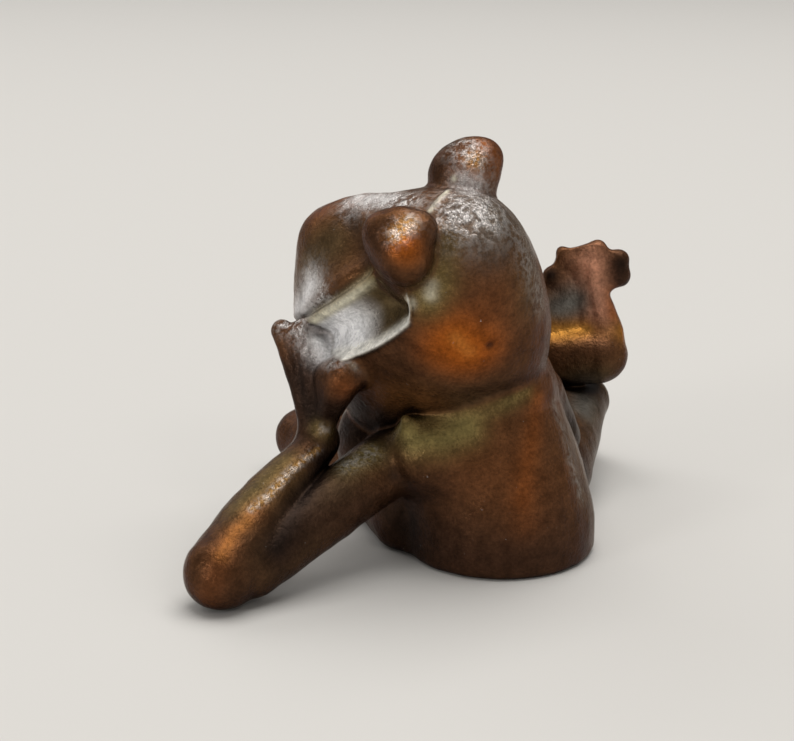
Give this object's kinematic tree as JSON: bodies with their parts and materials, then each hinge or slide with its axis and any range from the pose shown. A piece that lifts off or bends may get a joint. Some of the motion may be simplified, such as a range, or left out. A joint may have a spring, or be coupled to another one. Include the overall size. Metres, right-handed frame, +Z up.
{
  "type": "reclining animal figurine",
  "caption": "Small cast bronze figurine of a reclining animal with bulging eyes, cheek propped on one hand, legs crossed and one webbed foot raised",
  "frame": {"origin": "centre of the flat underside of the trunk, on the table", "axes": "X to the viewer's right in the picture, Y away from the viewer, Z up"},
  "size_m": [0.0443, 0.059, 0.0409],
  "materials": {
    "bronze": "aged cast bronze, brown patina rubbed warm on the high places, fine pitting"
  },
  "bodies": {
    "root": {"trunk": "bronze", "head": "bronze", "left_eye": "bronze", "right_eye": "bronze", "left_arm": "bronze", "left_hand": "bronze", "right_arm": "bronze", "right_hand": "bronze", "left_thigh": "bronze", "left_shin": "bronze", "left_foot": "bronze", "right_thigh": "bronze", "right_shin": "bronze", "right_foot": "bronze"}
  },
  "joints": []
}
